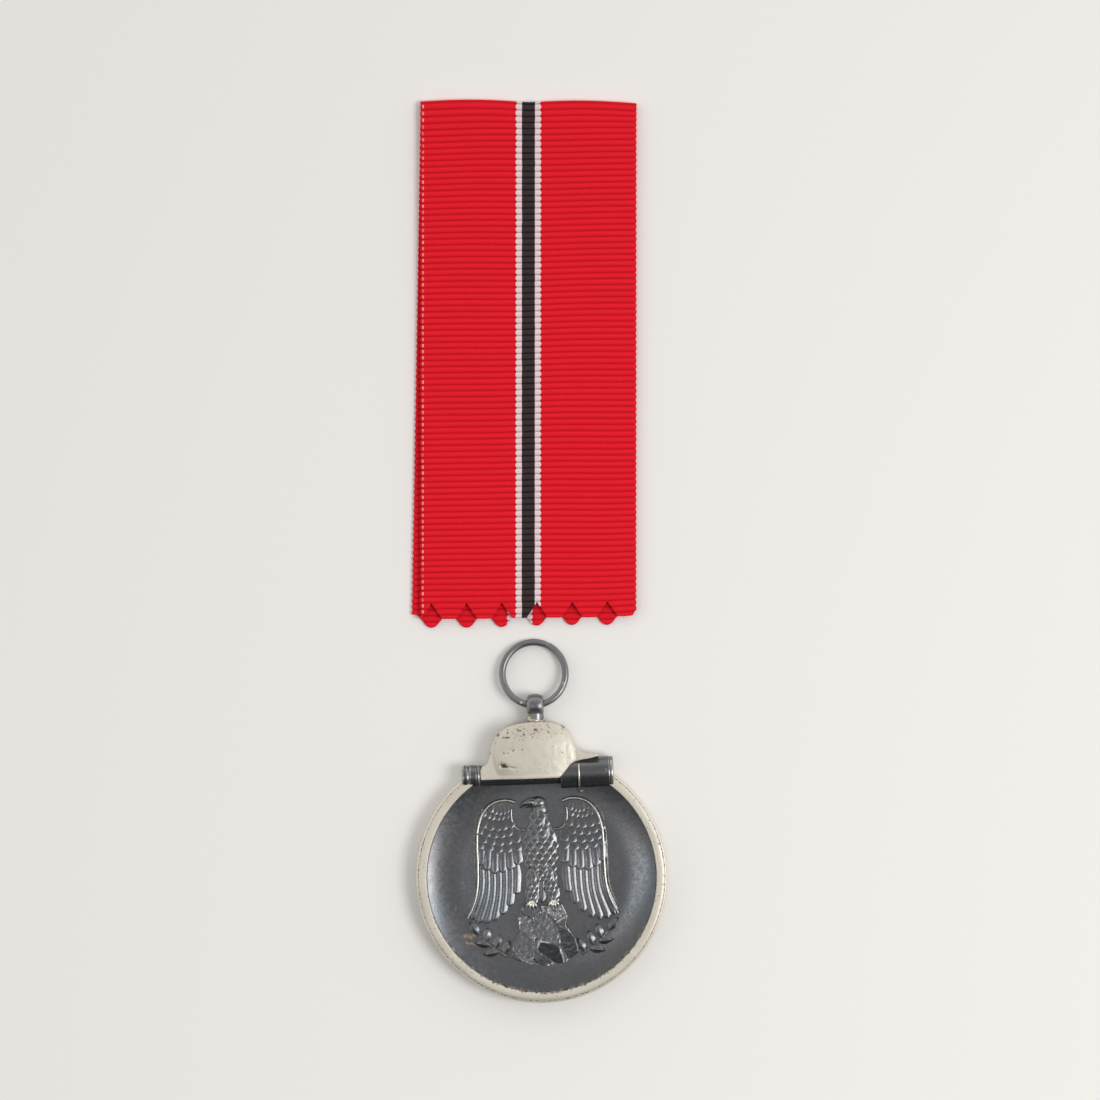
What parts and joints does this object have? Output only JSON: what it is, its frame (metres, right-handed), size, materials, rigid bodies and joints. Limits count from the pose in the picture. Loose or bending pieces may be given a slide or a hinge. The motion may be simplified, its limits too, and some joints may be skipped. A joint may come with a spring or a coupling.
{
  "type": "medal",
  "caption": "Round award medal with a helmet and crossbar above its disc, an eyelet and split ring, and a folded striped ribbon laid beside it.",
  "frame": {"origin": "on the surface that the medal and ribbon lie on, under the middle of their box", "axes": "+Z out of the medal's face, +Y from the disc towards its ring and the ribbon, +X to the right of someone who looks at the face with the ring at the top"},
  "size_m": [0.036, 0.13, 0.0045],
  "materials": {
    "frosted_silver": "frosted silvered metal, worn along its edges",
    "blackened_metal": "blackened metal, rubbed bright on raised edges",
    "ring_steel": "dull wire",
    "ribbon_cloth": "ribbed red ribbon with a black middle stripe between white ones"
  },
  "bodies": {
    "medal": {"rim_frame": "frosted_silver", "obverse_plate": "blackened_metal", "reverse_plate": "blackened_metal", "bird_emblem": "blackened_metal", "perch_rock": "blackened_metal", "laurel_sprig_left": "blackened_metal", "laurel_sprig_right": "blackened_metal", "crossbar_rod": "blackened_metal", "crossbar_cap": "blackened_metal", "crossbar_barrel": "blackened_metal", "barrel_strap": "blackened_metal", "helmet": "frosted_silver", "eyelet": "blackened_metal"},
    "ring": {"suspension_ring": "ring_steel"},
    "ribbon_lower": {"ribbon_lower_leaf": "ribbon_cloth"},
    "ribbon_upper": {"ribbon_upper_leaf": "ribbon_cloth"}
  },
  "joints": [
    {"name": "ring_swing", "type": "hinge", "parent": "medal", "child": "ring", "pos_m": [0, -0.02235, 0.00169], "axis": [1, 0, 0], "range_deg": [-138, 144]},
    {"name": "ribbon_lift", "type": "slide", "parent": "medal", "child": "ribbon_lower", "axis": [0, 0, 1], "range_m": [0, 0.05]},
    {"name": "ribbon_unfold", "type": "hinge", "parent": "ribbon_lower", "child": "ribbon_upper", "pos_m": [0.00237, 0.0643, 0.00051], "axis": [-0.9989, 0.0471, 0], "range_deg": [0, 180]}
  ]
}
